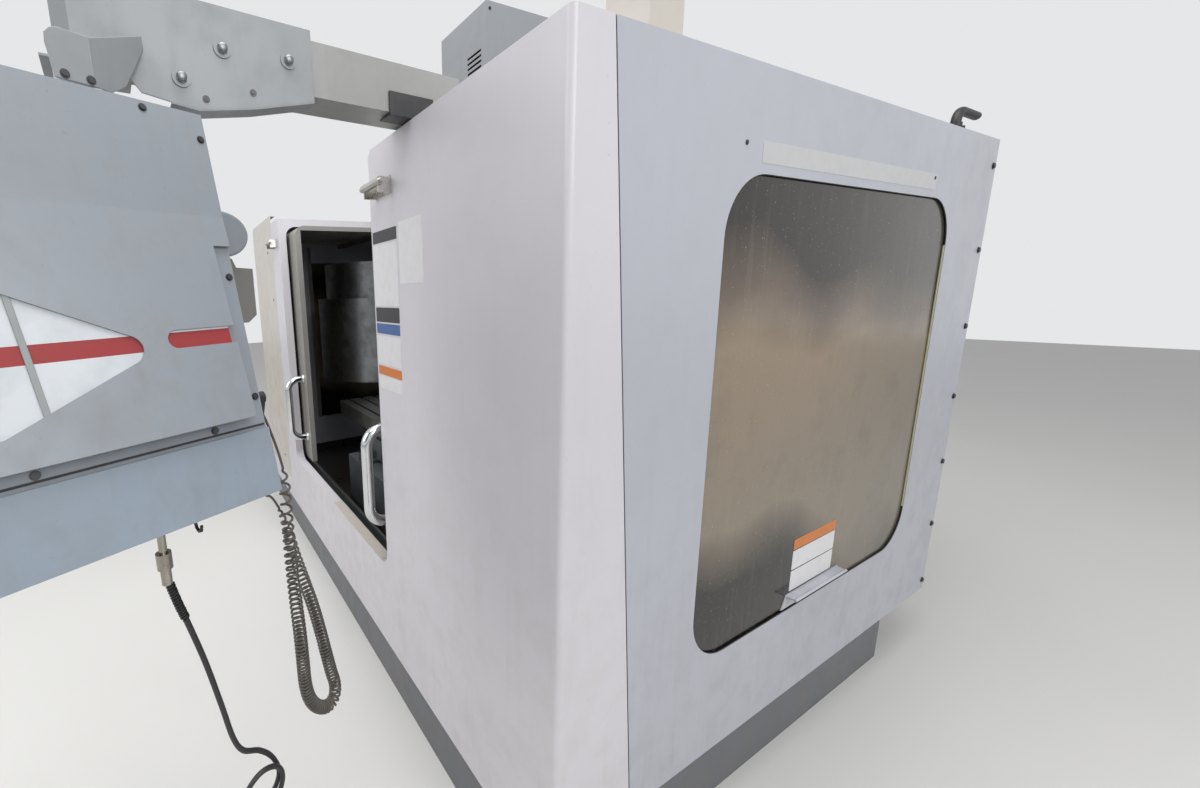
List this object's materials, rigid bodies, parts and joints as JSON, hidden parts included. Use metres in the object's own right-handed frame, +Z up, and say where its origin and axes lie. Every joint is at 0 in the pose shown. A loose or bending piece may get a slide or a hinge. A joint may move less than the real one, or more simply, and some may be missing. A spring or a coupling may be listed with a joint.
{
  "type": "cnc machining center",
  "caption": "Vertical machining center in a full enclosure with two sliding doors, side windows, tool changer and a swinging control pendant.",
  "frame": {"origin": "on the floor, on the middle of the door bay, in line with the spindle", "axes": "+X to the operator's right, +Y to the rear of the machine, +Z up"},
  "size_m": [3.044, 3.2834, 2.72],
  "materials": {
    "casting_grey": "semi-gloss machine paint",
    "skirt_grey": "satin paint, dusty",
    "feet_steel": "oiled steel",
    "pan_dark": "dark oily paint",
    "casting_light": "semi-gloss machine paint",
    "rail_steel": "ground steel",
    "paint_white": "satin powder coat",
    "paint_cream": "satin powder coat",
    "paint_side": "satin powder coat",
    "channel_grey": "mill finish",
    "track_steel": "zinc plated",
    "catch_chrome": "worn chrome",
    "hose_black": "matt rubber",
    "post_black": "black paint",
    "table_iron": "ground iron, oily",
    "cover_grey": "textured paint",
    "spindle_steel": "ground steel",
    "drum_metal": "bare sheet metal, stained",
    "disc_metal": "machined",
    "door_grey": "satin paint",
    "door_glass": "stained clear pane",
    "handle_chrome": "polished tube",
    "side_glass": "stained clear pane",
    "tab_metal": "satin paint",
    "arm_paint": "satin paint",
    "plate_paint": "satin paint",
    "pendant_paint": "satin paint",
    "pendant_low": "satin paint",
    "booklet_paper": "coated paper",
    "screen_glass": "dark screen",
    "keys_plastic": "membrane keys",
    "cord_black": "matt",
    "cord_coil": "matt, dusty",
    "coupler_brass": "tarnished",
    "green_plastic": "gloss",
    "amber_plastic": "gloss",
    "red_plastic": "gloss",
    "knob_black": "gloss"
  },
  "bodies": {
    "machine": {"base_casting": "casting_grey", "base_skirt": "skirt_grey", "levelling_feet": "feet_steel", "chip_pan": "pan_dark", "column": "casting_light", "guide_rails": "rail_steel", "front_panel": "paint_white", "sill_cap": "paint_cream", "left_end_plate": "paint_cream", "side_panel_right": "paint_side", "side_panel_left": "paint_side", "roof_right": "paint_white", "roof_left": "paint_white", "rear_panels": "paint_side", "window_guides": "channel_grey", "door_tracks": "track_steel", "door_catches": "catch_chrome", "changer_rail": "casting_grey", "control_cabinet": "paint_cream", "roof_box": "paint_cream", "cable_gland": "hose_black", "arm_post": "post_black"},
    "saddle": {"saddle": "casting_grey"},
    "table": {"table": "table_iron"},
    "head": {"head_casting": "casting_light", "head_cover": "cover_grey"},
    "spindle": {"spindle_shaft": "spindle_steel"},
    "changer": {"changer_carriage": "casting_grey", "carousel_cover": "drum_metal"},
    "carousel": {"carousel_disc": "disc_metal"},
    "door_left": {"door_left_frame": "door_grey", "door_left_pane": "door_glass", "door_left_handle": "handle_chrome"},
    "door_right": {"door_right_frame": "door_grey", "door_right_pane": "door_glass", "door_right_handle": "handle_chrome"},
    "window_right": {"window_right_pane": "side_glass", "window_right_tab": "tab_metal"},
    "window_left": {"window_left_pane": "side_glass", "window_left_tab": "tab_metal"},
    "arm": {"pendant_arm": "arm_paint", "arm_end_plate": "plate_paint"},
    "pendant": {"pendant_housing": "pendant_paint", "pendant_back_plate": "pendant_paint", "pendant_lower_cover": "pendant_low", "booklet": "booklet_paper", "pendant_screen": "screen_glass", "pendant_keys": "keys_plastic", "cord_gland": "hose_black", "cord_lead": "cord_black", "coil_cord": "cord_coil", "air_coupler": "coupler_brass", "air_hose": "cord_black"},
    "cycle_start": {"cycle_start": "green_plastic"},
    "feed_hold": {"feed_hold": "amber_plastic"},
    "power_on": {"power_on": "green_plastic"},
    "power_off": {"power_off": "red_plastic"},
    "emergency_stop": {"emergency_stop": "red_plastic"},
    "jog_wheel": {"jog_wheel": "knob_black"},
    "cabinet_door": {"cabinet_door": "paint_cream"}
  },
  "joints": [
    {"name": "saddle_y", "type": "slide", "parent": "machine", "child": "saddle", "axis": [0, 1, 0], "range_m": [-0.03, 0.478]},
    {"name": "table_x", "type": "slide", "parent": "saddle", "child": "table", "axis": [1, 0, 0], "range_m": [-0.416, 0.6]},
    {"name": "head_z", "type": "slide", "parent": "machine", "child": "head", "axis": [0, 0, 1], "range_m": [-0.635, 0]},
    {"name": "spindle_turn", "type": "hinge", "parent": "head", "child": "spindle", "pos_m": [0, -0.24, 1.547], "axis": [0, 0, 1], "continuous": true},
    {"name": "changer_shuttle", "type": "slide", "parent": "machine", "child": "changer", "axis": [1, 0, 0], "range_m": [0, 0.755]},
    {"name": "carousel_turn", "type": "hinge", "parent": "changer", "child": "carousel", "pos_m": [-1.055, -0.24, 1.462], "axis": [0, 0, 1], "continuous": true},
    {"name": "door_left_slide", "type": "slide", "parent": "machine", "child": "door_left", "axis": [1, 0, 0], "range_m": [0, 0.527]},
    {"name": "door_right_slide", "type": "slide", "parent": "machine", "child": "door_right", "axis": [1, 0, 0], "range_m": [-0.527, 0]},
    {"name": "window_right_lift", "type": "slide", "parent": "machine", "child": "window_right", "axis": [0, 0, 1], "range_m": [0, 0.17]},
    {"name": "window_left_lift", "type": "slide", "parent": "machine", "child": "window_left", "axis": [0, 0, 1], "range_m": [0, 0.17]},
    {"name": "arm_swing", "type": "hinge", "parent": "machine", "child": "arm", "pos_m": [0.89, -0.915, 1.908], "axis": [0, 0, 1], "range_deg": [-45, 25]},
    {"name": "pendant_swivel", "type": "hinge", "parent": "arm", "child": "pendant", "pos_m": [1.002, -1.703, 1.85], "axis": [0, 0, 1], "range_deg": [-60, 60]},
    {"name": "cycle_start_push", "type": "slide", "parent": "pendant", "child": "cycle_start", "axis": [0.9311, 0.3649, 0], "range_m": [0, 0.004], "stiffness_N_per_m": 600},
    {"name": "feed_hold_push", "type": "slide", "parent": "pendant", "child": "feed_hold", "axis": [0.9311, 0.3649, 0], "range_m": [0, 0.004], "stiffness_N_per_m": 600},
    {"name": "power_on_push", "type": "slide", "parent": "pendant", "child": "power_on", "axis": [0.9311, 0.3649, 0], "range_m": [0, 0.004], "stiffness_N_per_m": 600},
    {"name": "power_off_push", "type": "slide", "parent": "pendant", "child": "power_off", "axis": [0.9311, 0.3649, 0], "range_m": [0, 0.004], "stiffness_N_per_m": 600},
    {"name": "emergency_stop_push", "type": "slide", "parent": "pendant", "child": "emergency_stop", "axis": [0.9311, 0.3649, 0], "range_m": [0, 0.006]},
    {"name": "jog_turn", "type": "hinge", "parent": "pendant", "child": "jog_wheel", "pos_m": [1.03673, -1.91494, 1.407], "axis": [0.9311, 0.3649, 0], "continuous": true},
    {"name": "cabinet_door_hinge", "type": "hinge", "parent": "machine", "child": "cabinet_door", "pos_m": [0.341, 1.259, 1.1], "axis": [0, 0, 1], "range_deg": [0, 120]}
  ]
}
